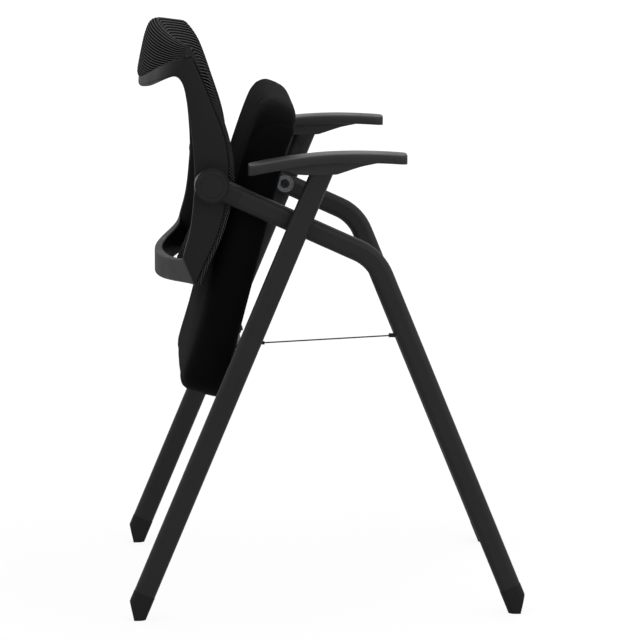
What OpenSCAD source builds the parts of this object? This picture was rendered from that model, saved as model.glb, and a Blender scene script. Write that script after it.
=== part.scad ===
// Nesting armchair: bent oval tube frame, flip-up upholstered seat and a mesh back that flexes at two hubs.
// Origin on the floor midway between the feet: +X is the front, +Y the sitter's left, +Z up.
// It stands as photographed, with the seat folded up against the back.

/* [Tube frame] */
// Front to back reach of the feet
foot_span = 564; // [520:1:620]
// Distance between the centre planes of the rear legs
leg_pitch = 545; // [530:1:600]
// Wide side of the flat oval tube
tube_w = 31; // [28:0.5:34]
// Narrow side of the flat oval tube
tube_t = 18; // [16:0.5:20]
// Wall of the tube
tube_wall = 1.6; // [1.2:0.1:2.2]
// Lean of the rear legs, degrees
rear_lean = 22.7; // [21:0.1:24]
// Lean of the front legs, degrees
front_lean = 22.2; // [20:0.1:24]
// Fall of the side tubes towards the front, degrees
side_fall = 24.4; // [22:0.1:27]
// Height at which the side tube and the front leg would meet in a corner
bend_z = 513; // [490:1:530]
// Centre line radius of the front bend
bend_r = 69; // [55:1:85]
// Height of the cut tops of the rear legs, under the arms
leg_top_z = 635; // [620:1:650]
// Gap between a rear leg and the side tube that crosses it, filled by a spacer
cross_gap = 4; // [3:0.5:5]

/* [Feet] */
// Height of the outer corner of a foot
foot_corner_h = 27; // [20:1:32]
// How far the foot is cut back below that corner
foot_cut = 6; // [3:0.5:9]
// Height of the seam between foot and tube
foot_seam_h = 37; // [34:1:44]
// Depth of a plug inside its tube
plug_len = 28; // [20:1:40]
// Clearance round a plug inside its tube
plug_clear = 0.15; // [0.1:0.05:0.3]

/* [Armrests] */
// Length of an arm pad
arm_len = 222; // [200:1:240]
// Width of an arm pad
arm_w = 50; // [42:1:58]
// Thickness of an arm pad at its rear end
arm_pad_t = 14.5; // [12:0.5:18]
// Height of the highest point of an arm pad
arm_top_z = 666; // [662:1:678]
// How far the rear end of the pad lies below its highest point
arm_drop = 17; // [12:1:22]
// How far the rear end of the pad lies behind the leg's centre line at the cut top
arm_back = 102; // [90:1:112]
// Length of the support under the pad
arm_web_len = 136; // [120:1:150]
// Width of the support under the pad
arm_web_w = 24; // [20:1:30]
// Depth of the support below the pad, at the leg
arm_web_h = 17; // [14:1:20]

/* [Seat] */
// Front to back length of the seat
seat_len = 440; // [415:1:446]
// Clearance between the cushion's side and the inner face of a rear leg
seat_side_gap = 34.5; // [31.5:0.5:43.5]
// Thickness of the cushion at its edge
seat_t = 58; // [52:1:64]
// Rise of the cushion's middle above its edge
seat_crown = 10; // [4:1:12]
// Lean of the folded seat from the vertical, degrees
seat_lean = 14.6; // [13:0.1:16]
// Travel of the seat from folded to in use, degrees
seat_travel = 73; // [65:1:76]
// Height of the seat's axle
pivot_z = 354; // [340:1:365]
// How far the axle lies in front of the leg's centre line
pivot_forward = 5; // [2:0.5:6]
// Reach of the seat behind its axle
seat_tail = 64; // [54:0.5:70]
// Distance from the axle's centre to the underside of the seat
axle_drop = 12.5; // [12.2:0.1:14.4]
// Thickness of the seat board
board_t = 10; // [8:1:14]
// Margin of the cushion round the board
board_margin = 22; // [18:1:30]
// Diameter of the axle tube
axle_d = 16; // [14:0.5:16.5]
// Distance from the cushion's side to the centre of a hinge bracket
bracket_inset = 79; // [64:1:99]
// Width of a hinge bracket
bracket_w = 34; // [28:1:40]

/* [Back] */
// Distance from the crossing with the rear leg back to the hub's centre, along the tube
hub_reach = 133.7; // [127:0.1:139]
// Diameter of the hub barrel
hub_d = 50; // [46:0.5:54]
// Distance from the hub's centre to the seam between knuckle and tube
knuckle_len = 43; // [38:1:50]
// Diameter of the hub bolt
hub_bolt_d = 10; // [8:0.5:12]
// Thickness of the back frame's rails
rail_t = 17; // [14:0.5:19]
// Height of the rails
rail_h = 323; // [305:1:335]
// Height of the rails' lower ends above the floor
rail_z = 474; // [468:1:482]
// How far the rails' front edge bulges in front of the hub's centre
rail_reach = 24.5; // [22:0.5:26]
// How far the top rail bows to the rear between the side rails
top_bow = 69; // [58:1:78]
// Height of the top rail
top_rail_h = 20; // [17:1:26]
// How far the middle of the top rail droops
top_droop = 43; // [36:1:50]
// How far the lower rail bows to the rear between the side rails
low_bow = 56; // [46:1:62]
// Height of the lower rail
low_rail_h = 50; // [44:1:56]
// Thickness of the top and lower rails
cross_rail_t = 13; // [10:0.5:16]
// Thickness of the mesh at its edges
mesh_edge_t = 7; // [5:0.5:8]
// Thickness of the mesh in its middle
mesh_t = 4; // [3:0.5:5]
// How far the mesh is bowed to the rear at its middle
mesh_bow = 30; // [24:1:36]
// Height of the crest of the mesh above the rails' upper ends
crest_rise = 38; // [30:1:44]

/* [Stay wire] */
// Diameter of the stay wire
wire_d = 2; // [1.5:0.1:3]
// Height of the wire's rear end
wire_z = 396; // [388:1:402]
// Rise of the wire towards the front leg
wire_rise = 7; // [4:1:12]

/* [Hidden] */
$fn = 48;

// One overrun for every cut, and the running and seating gaps
over = 1;
run_fit = 0.03;
seat_gap = 0.2;
soft_gap = 0.3;

// Frame: places worked out from the driving sizes
rear_y = leg_pitch / 2;
tube_y = rear_y - tube_t - cross_gap;
rear_half = tube_w / 2 / cos(rear_lean);
front_half = tube_w / 2 / cos(front_lean);
rear_x0 = -foot_span / 2 + rear_half - foot_corner_h * tan(rear_lean);
front_x0 = foot_span / 2 - front_half + foot_corner_h * tan(front_lean);
bend_x = front_x0 - bend_z * tan(front_lean);
bend_angle = 90 - side_fall - front_lean;
bend_run = bend_r * tan(bend_angle / 2);
leg_run_share = tan(rear_lean);
// The rear leg's centre line crosses the side tube's centre line here
cross_x = (rear_x0 + leg_run_share * (bend_z + bend_x * tan(side_fall)))
    / (1 + leg_run_share * tan(side_fall));
cross_z = (cross_x - rear_x0) / leg_run_share;
hub_x = cross_x - hub_reach * cos(side_fall);
hub_z = cross_z + hub_reach * sin(side_fall);
hub_to_bend = (bend_x - hub_x) / cos(side_fall);
foot_lip = 0.4;
bend_draw = 0.05;
bend_sink = 0.5;

// Crossing bolts, washers and spacers
cross_bolt_d = 8;
cross_head_d = 14;
cross_head_h = 5;
cross_hex = 5;
cross_hex_deep = 3;
saddle_d = 26;
saddle_t = 1.6;
spacer_d = 28;
nut_flange_d = 15;
nut_flange_t = 0.8;
nut_body_d = 11;
nut_len = 13;

// Armrest details
arm_screw_d = 5;
arm_screw_head_d = 9;
arm_screw_head_h = 2.4;
arm_screw_below = 12;
arm_hex = 3;
arm_hex_deep = 1.4;
arm_screw_len = 15;
arm_web_t = 0.8;

// Hub: planes across the chair, measured outwards from the middle
hub_flush = 0.6;
hub_proud = 2;
hub_in = tube_y - tube_t / 2 - hub_flush;
hub_out = tube_y + tube_t / 2 + hub_proud;
cap_t = 3.2;
cap_lip_t = 1.2;
cap_step = 2.5;
cap_ring_step = 8;
cap_d = hub_d - 2 * cap_step;
cap_ring_d = hub_d - 2 * cap_ring_step;
cap_ring_deep = 0.7;
hub_draft = 1;
recess_wall = 6;
recess_d = hub_d - 2 * recess_wall;
recess_deep = 7.5;
ring_wall = 7;
ring_d = hub_d - 2 * ring_wall;
ring_bore = 18;
ring_deep = 5;
bush_wall = 1.5;
bolt_head_d = 17;
bolt_head_h = 5;
bolt_hex = 6;
hub_nut_d = 17;
hub_nut_h = 7;
hub_nut_round_d = 20;

// Seat: places worked out from the driving sizes
pivot_x = rear_x0 + leg_run_share * pivot_z + pivot_forward;
seat_w = leg_pitch - tube_t - 2 * seat_side_gap;
bracket_pitch = seat_w - 2 * bracket_inset;
bush_t = 2;
barrel_gap = 0.7;
barrel_d = 2 * (axle_drop - barrel_gap);
plate_t = 3;
plate_len = 58;
gusset_share = 0.5;
plate_low_share = 0.53;
axle_wall = 2;
stop_w = 6;
stop_angle = 24;
stop_gap = 1.2;
stop_rise = 2;
stop_r = barrel_d / 2 + stop_rise;
stop_down = -90;
// Angle left between a stop tab and its ring at each end of the travel
stop_play = 1.4;
screw_d = 5;
screw_head_d = 10;
screw_head_h = 2.2;
screw_len = 9;
tee_d = 7;
tee_flange_d = 16;
tee_flange_t = 1.2;

// Shared shapes

// A cylinder along Y from one plane to another
module rod(d, y0, y1) {
    translate([0, y0, 0])
        rotate([-90, 0, 0])
            cylinder(d = d, h = y1 - y0);
}

// A cone or drum along Y whose two ends have their own diameters
module drum(d0, d1, y0, y1) {
    translate([0, y0, 0])
        rotate([-90, 0, 0])
            cylinder(d1 = d0, d2 = d1, h = y1 - y0);
}

// A hexagonal socket along Y
module hex_socket(af, y0, y1) {
    translate([0, y0, 0])
        rotate([-90, 0, 0])
            cylinder(d = af / cos(30), h = y1 - y0, $fn = 6);
}

// The flat oval section, its wide side along X
module oval(w, t) {
    square([w - t, t], center = true);
    for (side = [-1, 1])
        translate([side * (w - t) / 2, 0])
            circle(d = t);
}

module oval_bar(w, t, h) {
    linear_extrude(h)
        oval(w, t);
}

// Puts what it is given on both sides of the chair; it is drawn on the right side, where Y is negative
module both_sides() {
    children();
    mirror([0, 1, 0])
        children();
}

// Local frames: Z runs up the rear leg, up the front leg, along the side tube towards its front, up the seat
module on_rear_leg() {
    translate([rear_x0, -rear_y, 0])
        rotate([0, rear_lean, 0])
            children();
}

module on_front_leg() {
    translate([front_x0, -tube_y, 0])
        rotate([0, -front_lean, 0])
            children();
}

module on_side_tube() {
    translate([hub_x, -tube_y, hub_z])
        rotate([0, 90 + side_fall, 0])
            children();
}

module on_seat() {
    translate([pivot_x, 0, pivot_z])
        rotate([0, seat_lean, 0])
            children();
}

module at_hub() {
    translate([hub_x, 0, hub_z])
        children();
}

// A closed skin over rings of points that all have the same count, with flat ends
function ring_faces(count, rings) = concat(
    [for (r = [0 : rings - 2]) for (i = [0 : count - 1])
        [r * count + i, (r + 1) * count + i, r * count + (i + 1) % count]],
    [for (r = [0 : rings - 2]) for (i = [0 : count - 1])
        [(r + 1) * count + i, (r + 1) * count + (i + 1) % count, r * count + (i + 1) % count]]);

function end_fan(count, base, turn) =
    [for (i = [1 : count - 2]) turn ? [base, base + i, base + i + 1] : [base, base + i + 1, base + i]];

module skin(rings) {
    count = len(rings[0]);
    polyhedron(points = [for (ring = rings) each ring],
        faces = concat(ring_faces(count, len(rings)), end_fan(count, 0, true),
            end_fan(count, (len(rings) - 1) * count, false)));
}

// The same skin over rings that close on themselves
module loop_skin(rings) {
    count = len(rings[0]);
    total = len(rings) * count;
    open_faces = ring_faces(count, len(rings) + 1);
    polyhedron(points = [for (ring = rings) each ring],
        faces = [for (face = open_faces) [for (k = [2 : -1 : 0]) face[k] % total]]);
}

// A smooth curve through a table of [where, value] shares
function slot_of(table, t, k = 0) = k >= len(table) - 2 || t < table[k + 1][0] ? k : slot_of(table, t, k + 1);

function slope_at(table, k) = let (a = max(k - 1, 0), b = min(k + 1, len(table) - 1))
    (table[b][1] - table[a][1]) / (table[b][0] - table[a][0]);

function curve(table, t) = let (
        k = slot_of(table, t),
        width = table[k + 1][0] - table[k][0],
        s = (t - table[k][0]) / width,
        m0 = slope_at(table, k) * width,
        m1 = slope_at(table, k + 1) * width)
    (2 * s * s * s - 3 * s * s + 1) * table[k][1] + (s * s * s - 2 * s * s + s) * m0
        + (3 * s * s - 2 * s * s * s) * table[k + 1][1] + (s * s * s - s * s) * m1;

function blend_of(a, b, t) = a + (b - a) * t;
function unit(v) = v / norm(v);

// Tube frame

// Keeps what stands on the floor behind the slanted line under a foot's outer corner
module foot_trim(tall) {
    rotate([90, 0, 0])
        linear_extrude(4 * tube_t, center = true)
            polygon([[0, 0], [foot_cut - foot_span / 2, 0], [-foot_span / 2, foot_corner_h],
                [-foot_span / 2, tall], [0, tall]]);
}

// A foot plug: its shoe under the seam is trimmed to the floor, its stem fits inside the tube
module foot_plug(lean) {
    seam = foot_seam_h / cos(lean);
    intersection() {
        translate([-foot_span / 2 + tube_w / 2 / cos(lean) - foot_corner_h * tan(lean), 0, 0])
            rotate([0, lean, 0]) {
                translate([0, 0, -tube_w])
                    oval_bar(tube_w + 2 * foot_lip, tube_t + 2 * foot_lip, seam + tube_w);
                oval_bar(tube_w - 2 * (tube_wall + plug_clear), tube_t - 2 * (tube_wall + plug_clear),
                    seam + plug_len);
            }
        foot_trim(foot_seam_h + 2 * plug_len);
    }
}

module rear_feet() {
    color([0.1, 0.1, 0.11])
        both_sides()
            translate([0, -rear_y, 0])
                foot_plug(rear_lean);
}

module front_feet() {
    color([0.1, 0.1, 0.11])
        both_sides()
            translate([0, -tube_y, 0])
                mirror([1, 0, 0])
                    foot_plug(front_lean);
}

module rear_leg() {
    seam = foot_seam_h / cos(rear_lean);
    top = leg_top_z / cos(rear_lean);
    color([0.17, 0.17, 0.18])
        difference() {
            on_rear_leg()
                difference() {
                    translate([0, 0, seam])
                        oval_bar(tube_w, tube_t, top + tube_w - seam);
                    translate([0, 0, seam - over])
                        oval_bar(tube_w - 2 * tube_wall, tube_t - 2 * tube_wall, top + 2 * tube_w);
                }
            // The top is cut level, under the arm
            translate([rear_x0 + leg_run_share * leg_top_z - 2 * tube_w, -rear_y - tube_w, leg_top_z])
                cube([4 * tube_w, 2 * tube_w, 2 * tube_w]);
            // Hole for the arm's screw, in the inner wall
            arm_screw_place()
                rod(arm_screw_d + 2 * seat_gap, 0, tube_t);
            // Hole for the rivet nut at the crossing, in the inner wall
            translate([cross_x, 0, cross_z])
                rod(nut_body_d + 2 * plug_clear, -rear_y, -rear_y + tube_t);
            // Hole for the seat's axle
            axle_place()
                rod(axle_d + 2 * seat_gap, -rear_y, -rear_y + tube_t);
        }
}

module arm_screw_place() {
    translate([rear_x0 + leg_run_share * (leg_top_z - arm_screw_below), -rear_y, leg_top_z - arm_screw_below])
        children();
}

module axle_place() {
    translate([pivot_x, 0, pivot_z])
        children();
}

// Side tube: a straight run from the knuckle, the bend, and the front leg down to the foot's seam.
// The bend is drawn in a little against the straight runs, and starts inside them
module side_tube_solid(w, t, grow) {
    run = hub_to_bend - knuckle_len - bend_run;
    leg_run = (bend_z - foot_seam_h) / cos(front_lean) - bend_run - run_fit;
    sink = atan(bend_sink / bend_r);
    on_side_tube() {
        translate([0, 0, knuckle_len - grow])
            oval_bar(w, t, run + grow);
        translate([bend_r, 0, knuckle_len + run]) {
            rotate([90, 0, 0])
                rotate([0, 0, 180 - bend_angle - sink])
                    rotate_extrude(angle = bend_angle + 2 * sink)
                        translate([bend_r, 0])
                            oval(w - 2 * bend_draw, t - 2 * bend_draw);
            rotate([0, bend_angle, 0])
                translate([-bend_r, 0, 0])
                    oval_bar(w, t, leg_run + grow);
        }
    }
}

module side_tube() {
    color([0.17, 0.17, 0.18])
        difference() {
            side_tube_solid(tube_w, tube_t, 0);
            side_tube_solid(tube_w - 2 * tube_wall, tube_t - 2 * tube_wall, over);
            translate([cross_x, 0, cross_z])
                rod(cross_bolt_d + 2 * seat_gap, -tube_y - tube_t, -tube_y + tube_t);
        }
}

// Armrests

arm_x0 = rear_x0 + leg_run_share * leg_top_z - arm_back;
// Height of the pad's top along its length, as shares of its drop
arm_top_shares = [[0, -1], [0.13, -0.68], [0.26, -0.4], [0.46, -0.1], [0.66, 0], [0.84, -0.05], [1, -0.18]];
arm_thick_shares = [[0, 1], [0.3, 0.95], [0.6, 0.93], [1, 0.9]];
// Depth of the support below the pad along its length
arm_web_shares = [[0, 0], [0.1, 0.3], [0.24, 0.86], [0.36, 1], [0.52, 1], [0.66, 0.72], [0.84, 0.28], [1, 0]];
arm_corner_share = 0.2;
arm_edge_r = 3.6;
arm_start_share = 0.2;

function arm_top(t) = arm_top_z + arm_drop * curve(arm_top_shares, t);
function arm_thick(t) = arm_pad_t * curve(arm_thick_shares, t);

// Half width of the pad in plan: full, with rounded corners at both ends
function arm_half(t) = let (r = arm_w * arm_corner_share, d = min(t, 1 - t) * arm_len)
    arm_w / 2 - (d < r ? r - sqrt(r * r - (r - d) * (r - d)) : 0);

// A rounded rectangle, half sizes a and b, three points a corner
function soft_rect(a, b, r) = [for (corner = [0 : 3]) for (step = [0 : 2])
    let (turn = 90 * corner + 45 * step,
        cx = (corner == 0 || corner == 3 ? 1 : -1) * (a - r),
        cy = (corner < 2 ? 1 : -1) * (b - r))
    [cx + r * cos(turn), cy + r * sin(turn)]];

arm_steps = [0, 0.006, 0.018, 0.035, 0.09, 0.16, 0.26, 0.38, 0.5, 0.62, 0.74, 0.86, 0.965, 0.982, 0.994, 1];

module arm_pad() {
    color([0.15, 0.15, 0.16])
        skin([for (t = arm_steps) [for (p = soft_rect(arm_thick(t) / 2, arm_half(t), arm_edge_r))
            [arm_x0 + t * arm_len, -rear_y + p[1], arm_top(t) - arm_thick(t) / 2 + p[0]]]]);
}

module arm_support() {
    share = arm_web_len / arm_len;
    steps = [for (k = [0 : 12]) k / 12];
    upper = [for (s = steps) let (t = arm_start_share + s * share)
        [arm_x0 + t * arm_len, arm_top(t) - arm_thick(t) - seat_gap]];
    lower = [for (s = steps) let (t = arm_start_share + s * share)
        [arm_x0 + t * arm_len, max(leg_top_z,
            arm_top(t) - arm_thick(t) - seat_gap - arm_web_t - arm_web_h * curve(arm_web_shares, s))]];
    color([0.13, 0.13, 0.14])
        difference() {
            union() {
                translate([0, -rear_y + arm_web_w / 2, 0])
                    rotate([90, 0, 0])
                        linear_extrude(arm_web_w)
                            polygon(concat(upper, [for (k = [len(lower) - 1 : -1 : 0]) lower[k]]));
                intersection() {
                    on_rear_leg()
                        translate([0, 0, leg_top_z / cos(rear_lean) - plug_len])
                            oval_bar(tube_w - 2 * (tube_wall + plug_clear),
                                tube_t - 2 * (tube_wall + plug_clear), plug_len + tube_w);
                    translate([arm_x0, -rear_y - tube_w, 0])
                        cube([arm_len, 2 * tube_w, leg_top_z + arm_web_t]);
                }
            }
            arm_screw_place()
                rod(arm_screw_d + 2 * run_fit, -arm_screw_len, tube_t);
        }
}

module arm_screws() {
    color([0.25, 0.25, 0.26])
        both_sides()
            arm_screw_place()
                difference() {
                    union() {
                        rod(arm_screw_d, tube_t / 2 - arm_screw_len + arm_screw_head_h, tube_t / 2 + seat_gap);
                        rod(arm_screw_head_d, tube_t / 2 + seat_gap, tube_t / 2 + seat_gap + arm_screw_head_h);
                    }
                    hex_socket(arm_hex, tube_t / 2 + seat_gap + arm_screw_head_h - arm_hex_deep,
                        tube_t / 2 + seat_gap + arm_screw_head_h + over);
                }
}

// Crossing of rear leg and side tube

module at_crossing() {
    translate([cross_x, 0, cross_z])
        children();
}

module crossing_spacers() {
    leg_face = -rear_y + tube_t / 2;
    color([0.08, 0.08, 0.09])
        both_sides()
            at_crossing()
                difference() {
                    rod(spacer_d, leg_face, leg_face + cross_gap);
                    rod(cross_bolt_d + 2 * seat_gap, leg_face - over, leg_face + cross_gap + over);
                    rod(nut_flange_d + 2 * seat_gap, leg_face - over, leg_face + nut_flange_t + seat_gap);
                }
}

module crossing_nuts() {
    leg_face = -rear_y + tube_t / 2;
    color([0.6, 0.6, 0.62])
        both_sides()
            at_crossing()
                difference() {
                    union() {
                        rod(nut_flange_d, leg_face, leg_face + nut_flange_t);
                        rod(nut_body_d, leg_face - nut_len, leg_face + nut_flange_t);
                    }
                    rod(cross_bolt_d + 2 * run_fit, leg_face - nut_len - over, leg_face + cross_gap);
                }
}

module saddle_washers() {
    face = -tube_y + tube_t / 2;
    rim = saddle_t * 1.2;
    color([0.75, 0.75, 0.77])
        both_sides()
            at_crossing()
                difference() {
                    rod(saddle_d, face, face + saddle_t + rim);
                    rod(saddle_d - 2 * saddle_t, face + saddle_t, face + saddle_t + rim + over);
                    rod(cross_bolt_d + 2 * seat_gap, face - over, face + saddle_t + over);
                }
}

module crossing_bolts() {
    face = -tube_y + tube_t / 2 + saddle_t;
    tip = -rear_y + tube_t / 2 - nut_len + seat_gap;
    color([0.2, 0.2, 0.21])
        both_sides()
            at_crossing()
                difference() {
                    union() {
                        rod(cross_bolt_d, tip, face);
                        drum(cross_head_d, cross_head_d * 0.8, face, face + cross_head_h);
                    }
                    hex_socket(cross_hex, face + cross_head_h - cross_hex_deep, face + cross_head_h + over);
                }
}

// Stay wire on the right side, between rear leg and front leg

lug_d = 6;
lug_t = 4;
lug_stem_d = 5;
wire_in_lug = 1.6;
wire_x0 = rear_x0 + leg_run_share * wire_z + rear_half;
wire_y0 = -rear_y + tube_t / 4;
wire_z1 = wire_z + wire_rise;
wire_x1 = front_x0 - wire_z1 * tan(front_lean) - front_half;
lug_len = 9;

module wire_line(d, shrink) {
    from = [wire_x0, wire_y0, wire_z];
    to = [wire_x1, -tube_y, wire_z1];
    way = to - from;
    translate(from + unit(way) * shrink)
        rotate([0, 0, atan2(way[1], way[0])])
            rotate([0, acos(way[2] / norm(way)), 0])
                cylinder(d = d, h = norm(way) - 2 * shrink);
}

module stay_wire() {
    color([0.3, 0.3, 0.31])
        wire_line(wire_d, lug_t - wire_in_lug);
}

module stay_lugs() {
    color([0.08, 0.08, 0.09])
        difference() {
            union() {
                translate([wire_x0 - seat_gap, wire_y0, wire_z])
                    rotate([0, 90, 0])
                        cylinder(d = lug_stem_d, h = lug_t);
                translate([wire_x1 - lug_len, -tube_y, wire_z1])
                    rotate([0, 90, 0])
                        cylinder(d = lug_d, h = lug_len - seat_gap);
            }
            wire_line(wire_d + 2 * seat_gap, lug_t - wire_in_lug - over);
            on_front_leg()
                oval_bar(tube_w + seat_gap, tube_t + seat_gap, bend_z);
            on_rear_leg()
                oval_bar(tube_w + seat_gap, tube_t + seat_gap, leg_top_z);
        }
}

// Seat: axle, hinge brackets, board and cushion

module seat_axle() {
    reach = rear_y - seat_gap;
    stop_y = -bracket_pitch / 2 + bracket_w / 2 + stop_gap / 2;
    color([0.17, 0.17, 0.18]) {
        axle_place()
            difference() {
                union() {
                    rod(axle_d, -reach, reach);
                    both_sides()
                        translate([0, stop_y, 0])
                            rotate([90, 0, 0])
                                translate([0, 0, -stop_w])
                                    rotate([0, 0, stop_down - stop_angle / 2])
                                        rotate_extrude(angle = stop_angle)
                                            translate([axle_d / 2 - axle_wall / 2, 0])
                                                square([stop_r - stop_gap - axle_d / 2, stop_w]);
                }
                rod(axle_d - 2 * axle_wall, -reach - over, reach + over);
            }
    }
}

module hinge_bushes() {
    color([0.85, 0.85, 0.8])
        both_sides()
            axle_place()
                translate([0, -bracket_pitch / 2, 0])
                    difference() {
                        rod(axle_d + 2 * bush_t, -bracket_w / 2, bracket_w / 2);
                        rod(axle_d + 2 * run_fit, -bracket_w / 2 - over, bracket_w / 2 + over);
                    }
}

// Side view of a hinge bracket: barrel round the axle, cheeks and screw plate, in the seat's frame
plate_start = -plate_len * plate_low_share;
screw_inset = 8;

module bracket_profile() {
    circle(d = barrel_d);
    polygon([[-axle_drop, plate_start], [-axle_drop + plate_t, plate_start],
        [-axle_drop + plate_t, -barrel_d / 2], [0, -barrel_d / 2 + over / 2], [0, barrel_d / 2 - over / 2],
        [-axle_drop + plate_t, barrel_d * gusset_share], [-axle_drop + plate_t, plate_start + plate_len],
        [-axle_drop, plate_start + plate_len]]);
}

module bracket_screw_places() {
    for (u = [plate_start + screw_inset, plate_start + plate_len - screw_inset])
        for (side = [-1, 1])
            translate([-axle_drop, -bracket_pitch / 2 + side * (bracket_w / 2 - screw_inset), u])
                rotate([0, 90, 0])
                    children();
}

module hinge_brackets() {
    color([0.12, 0.12, 0.13])
        both_sides()
            on_seat()
                difference() {
                    union() {
                        translate([0, -bracket_pitch / 2 + bracket_w / 2, 0])
                            rotate([90, 0, 0])
                                linear_extrude(bracket_w)
                                    bracket_profile();
                        // Stop ring: it is open where the axle's stop tab travels
                        intersection() {
                            translate([0, -bracket_pitch / 2 + bracket_w / 2, 0])
                                rotate([90, 0, 0])
                                    translate([0, 0, -stop_w - stop_gap / 2])
                                        rotate([0, 0, stop_down + stop_angle / 2 + seat_lean + seat_travel
                                            + stop_play])
                                            rotate_extrude(angle = 360 - stop_angle - seat_travel - 2 * stop_play)
                                                translate([axle_d / 2 + stop_gap, 0])
                                                    square([stop_r - axle_d / 2 - stop_gap,
                                                        stop_w + stop_gap / 2 + over]);
                            translate([-axle_drop, -leg_pitch / 2, -2 * stop_r])
                                cube([4 * stop_r, leg_pitch, 4 * stop_r]);
                        }
                    }
                    translate([0, -bracket_pitch / 2, 0])
                        rod(axle_d + 2 * bush_t + seat_gap, -bracket_w / 2 - over, bracket_w / 2 + seat_gap);
                    bracket_screw_places()
                        translate([0, 0, -over])
                            cylinder(d = screw_d + 2 * seat_gap, h = plate_t + 2 * over);
                }
}

module bracket_screws() {
    color([0.3, 0.3, 0.31])
        both_sides()
            on_seat()
                bracket_screw_places()
                    difference() {
                        union() {
                            translate([0, 0, plate_t])
                                cylinder(d1 = screw_head_d, d2 = screw_head_d * 0.7, h = screw_head_h);
                            translate([0, 0, -screw_len])
                                cylinder(d = screw_d, h = screw_len + plate_t);
                        }
                        translate([0, 0, plate_t + screw_head_h / 2])
                            cylinder(d = arm_hex / cos(30), h = screw_head_h, $fn = 6);
                    }
}

module tee_nuts() {
    color([0.6, 0.6, 0.62])
        both_sides()
            on_seat()
                bracket_screw_places()
                    difference() {
                        union() {
                            translate([0, 0, -board_t + seat_gap])
                                cylinder(d = tee_d, h = board_t - 2 * seat_gap);
                            translate([0, 0, -board_t + seat_gap])
                                cylinder(d = tee_flange_d, h = tee_flange_t);
                        }
                        translate([0, 0, -board_t - over])
                            cylinder(d = screw_d + 2 * run_fit, h = board_t + 2 * over);
                    }
}

seat_u0 = -seat_tail;
seat_um = seat_u0 + seat_len / 2;
board_corner = 46;

// Plan of the board: a rounded rectangle that stops short of the cushion's edge
module board_plan(grow) {
    long = seat_len - 2 * board_margin + 2 * grow;
    wide = seat_w - 2 * board_margin + 2 * grow;
    r = board_corner + grow;
    square([wide - 2 * r, long], center = true);
    square([wide, long - 2 * r], center = true);
    for (sx = [-1, 1])
        for (sy = [-1, 1])
            translate([sx * (wide / 2 - r), sy * (long / 2 - r)])
                circle(r);
}

// The board's slab, its outer face in the plane of the seat's underside
module board_slab(grow, thick) {
    translate([-axle_drop, 0, seat_um])
        rotate([0, -90, 0])
            rotate([0, 0, 90])
                linear_extrude(thick)
                    board_plan(grow);
}

module seat_board() {
    color([0.2, 0.17, 0.14])
        on_seat()
            difference() {
                board_slab(0, board_t);
                both_sides()
                    bracket_screw_places() {
                        translate([0, 0, -board_t - over])
                            cylinder(d = tee_d + 2 * seat_gap, h = board_t + 2 * over);
                        translate([0, 0, -board_t - over])
                            cylinder(d = tee_flange_d + 2 * seat_gap, h = tee_flange_t + seat_gap * 2 + over);
                    }
            }
}

// Cushion: rings from the underside round the edge to the crowned top. Each ring is a plan outline,
// drawn in by some of the edge, at some of the thickness
cushion_inset_shares = [[0.3, 0], [0.06, 0.03], [0, 0.11], [-0.015, 0.27], [0.01, 0.5], [0, 0.72],
    [0.06, 0.86], [0.2, 0.95], [0.42, 1]];
cushion_edge_r = 30;
crown_rings = 5;
cushion_count = 52;
plan_power = 8;
// Fullness of the cushion from its tail to its nose
full_shares = [[-1, 1.12], [-0.85, 1.04], [-0.6, 0.97], [-0.3, 0.97], [0, 1], [0.5, 0.96], [1, 0.86]];

function plan_point(a, b, turn) = let (c = cos(turn), s = sin(turn))
    [a * sign(c) * pow(abs(c), 2 / plan_power), b * sign(s) * pow(abs(s), 2 / plan_power)];

// One ring in the seat's frame: x is minus the height over the underside, z runs to the seat's front
function cushion_ring(inset, height, scale_share) = [for (k = [0 : cushion_count - 1])
    let (p = scale_share * plan_point(seat_len / 2 - inset, seat_w / 2 - inset, 360 * k / cushion_count),
        full = curve(full_shares, p[0] / (seat_len / 2)))
    [-axle_drop - height * full, p[1], seat_um + p[0]]];

module cushion_form() {
    edge = [for (s = cushion_inset_shares) cushion_ring(s[0] * cushion_edge_r, s[1] * seat_t, 1)];
    inset = cushion_inset_shares[len(cushion_inset_shares) - 1][0] * cushion_edge_r;
    crown = [for (k = [1 : crown_rings]) let (f = 1 - k / (crown_rings + 0.4))
        cushion_ring(inset, seat_t + seat_crown * (1 - f * f), f)];
    skin(concat(edge, crown));
}

module seat_cushion() {
    color([0.05, 0.05, 0.06])
        on_seat()
            difference() {
                cushion_form();
                translate([over, 0, 0])
                    board_slab(soft_gap, board_t + soft_gap + over);
            }
}

// Hubs: knuckle on the side tube's end, bolt, rubber ring, bush and cap

module knuckle() {
    color([0.12, 0.12, 0.13])
        difference() {
            union() {
                at_hub()
                    drum(hub_d - 2 * hub_draft, hub_d, -hub_out, -hub_in);
                on_side_tube() {
                    oval_bar(tube_w + 2 * foot_lip, tube_t + 2 * foot_lip, knuckle_len);
                    oval_bar(tube_w - 2 * (tube_wall + plug_clear), tube_t - 2 * (tube_wall + plug_clear),
                        knuckle_len + plug_len);
                }
            }
            at_hub() {
                rod(hub_bolt_d + seat_gap, -hub_out - over, -hub_in + over);
                rod(recess_d, -hub_out - over, -hub_out + recess_deep);
                rod(ring_d + seat_gap, -hub_in - ring_deep - seat_gap, -hub_in + over);
            }
        }
}

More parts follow.
